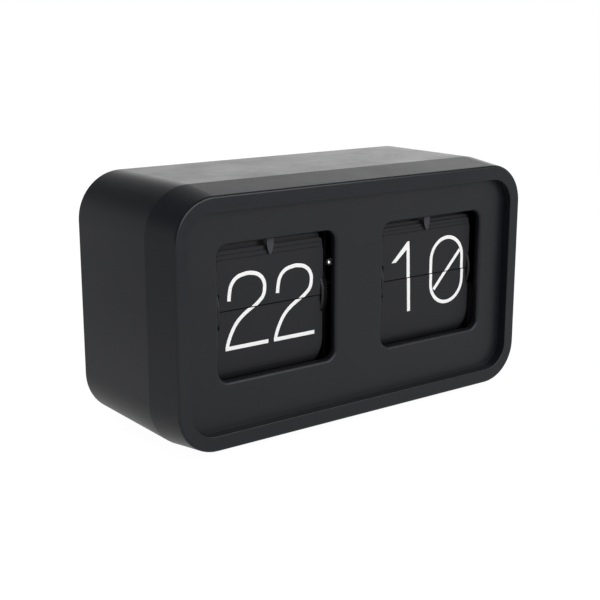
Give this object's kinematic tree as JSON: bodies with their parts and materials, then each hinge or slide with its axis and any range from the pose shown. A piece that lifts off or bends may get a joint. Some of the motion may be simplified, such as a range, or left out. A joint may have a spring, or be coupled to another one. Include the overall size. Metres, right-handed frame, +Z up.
{
  "type": "flip clock",
  "caption": "Wide battery table flip clock: hour and minute leaf drums behind two windows in a rounded case, with gear drive, setting wheel and battery door.",
  "frame": {"origin": "on the table under the middle of the clock's box", "axes": "+X to the right as the clock is read, +Y from the front to the back, +Z up"},
  "size_m": [0.37, 0.146, 0.21],
  "materials": {
    "case_plastic": "satin moulded, near black, slightly bluish",
    "face_plastic": "matt moulded, near black",
    "cover_plastic": "fine textured black",
    "rubber": "matt",
    "cell_wrap": "printed metal can, gloss",
    "brass_contact": "stamped spring strip, satin",
    "red_lead": "soft wire insulation",
    "black_lead": "soft wire insulation",
    "dark_frame": "black painted sheet steel",
    "steel": "turned steel",
    "bright_stud": "satin polished",
    "finger_metal": "black painted spring steel",
    "drum_plastic": "black moulded",
    "white_plastic": "white, moulded gears and printed digits",
    "drive_case": "dark grey moulded",
    "setting_plastic": "black moulded with grips",
    "screw_steel": "zinc plated",
    "leaf_plastic": "thin black matt sheet"
  },
  "bodies": {
    "root": {"case_shell": "case_plastic", "face_plate": "face_plastic", "rear_cover": "cover_plastic", "rubber_feet": "rubber", "battery_cell": "cell_wrap", "positive_contact": "brass_contact", "negative_contact": "brass_contact", "positive_lead": "red_lead", "negative_lead": "black_lead", "frame_base": "dark_frame", "frame_top_bar": "dark_frame", "frame_plate_left": "dark_frame", "frame_plate_centre_left": "dark_frame", "frame_plate_centre_right": "dark_frame", "frame_plate_right": "dark_frame", "main_axle": "dark_frame", "axle_clips": "steel", "centre_stud": "bright_stud", "idler_stud": "steel", "hour_finger": "finger_metal", "minute_finger": "finger_metal", "drive_unit": "drive_case", "face_plate_screws": "screw_steel", "rear_cover_screws": "screw_steel", "base_screws": "screw_steel", "frame_screws": "screw_steel", "hour_lower_leaf": "leaf_plastic", "hour_upper_stack": "leaf_plastic", "hour_lower_stack": "leaf_plastic", "minute_lower_leaf": "leaf_plastic", "minute_upper_stack": "leaf_plastic", "minute_lower_stack": "leaf_plastic"},
    "minute_drum": {"minute_flange_left": "drum_plastic", "minute_flange_right": "drum_plastic", "minute_hub": "drum_plastic", "minute_pinion": "drum_plastic", "minute_gear": "drum_plastic"},
    "hour_drum": {"hour_flange_left": "drum_plastic", "hour_flange_right": "drum_plastic", "hour_hub": "drum_plastic", "hour_gear": "drum_plastic"},
    "transfer": {"transfer_gear": "drum_plastic", "transfer_arbor": "steel"},
    "drive_shaft": {"drive_pinion": "white_plastic"},
    "idler": {"setting_idler": "white_plastic"},
    "setting": {"setting_gear": "setting_plastic", "setting_wheel": "setting_plastic"},
    "minute_leaf": {"minute_falling_leaf": "leaf_plastic"},
    "hour_leaf": {"hour_falling_leaf": "leaf_plastic"},
    "door": {"battery_door": "cover_plastic"}
  },
  "joints": [
    {"name": "minute_drum_spin", "type": "hinge", "parent": "root", "child": "minute_drum", "pos_m": [0.0834, -0.0273, 0.1124], "axis": [1, 0, 0], "continuous": true},
    {"name": "hour_drum_spin", "type": "hinge", "parent": "root", "child": "hour_drum", "pos_m": [-0.0834, -0.0273, 0.1124], "axis": [1, 0, 0], "continuous": true},
    {"name": "transfer_gear_spin", "type": "hinge", "parent": "root", "child": "transfer", "pos_m": [0, -0.00317, 0.09215], "axis": [1, 0, 0], "continuous": true},
    {"name": "drive_pinion_spin", "type": "hinge", "parent": "root", "child": "drive_shaft", "pos_m": [0.13805, -0.0273, 0.0836], "axis": [1, 0, 0], "continuous": true},
    {"name": "setting_idler_spin", "type": "hinge", "parent": "root", "child": "idler", "pos_m": [0.13805, 0.0127, 0.1124], "axis": [1, 0, 0], "continuous": true},
    {"name": "setting_wheel_spin", "type": "hinge", "parent": "root", "child": "setting", "pos_m": [0.15075, 0.0447, 0.1124], "axis": [1, 0, 0], "continuous": true},
    {"name": "minute_leaf_flip", "type": "hinge", "parent": "root", "child": "minute_leaf", "pos_m": [0.0834, -0.0564, 0.11418], "axis": [1, 0, 0], "range_deg": [0, 180]},
    {"name": "hour_leaf_flip", "type": "hinge", "parent": "root", "child": "hour_leaf", "pos_m": [-0.0834, -0.05644, 0.11329], "axis": [1, 0, 0], "range_deg": [0, 180]},
    {"name": "battery_door_hinge", "type": "hinge", "parent": "root", "child": "door", "pos_m": [0, 0.0678, 0.0427], "axis": [-1, 0, 0], "range_deg": [0, 100]}
  ],
  "couplings": [
    {"joint": "hour_drum_spin", "follows": "minute_drum_spin", "ratio": 0.041667},
    {"joint": "transfer_gear_spin", "follows": "minute_drum_spin", "ratio": -0.25},
    {"joint": "drive_pinion_spin", "follows": "minute_drum_spin", "ratio": -5},
    {"joint": "setting_idler_spin", "follows": "minute_drum_spin", "ratio": -1.5},
    {"joint": "setting_wheel_spin", "follows": "minute_drum_spin", "ratio": 1.5}
  ]
}
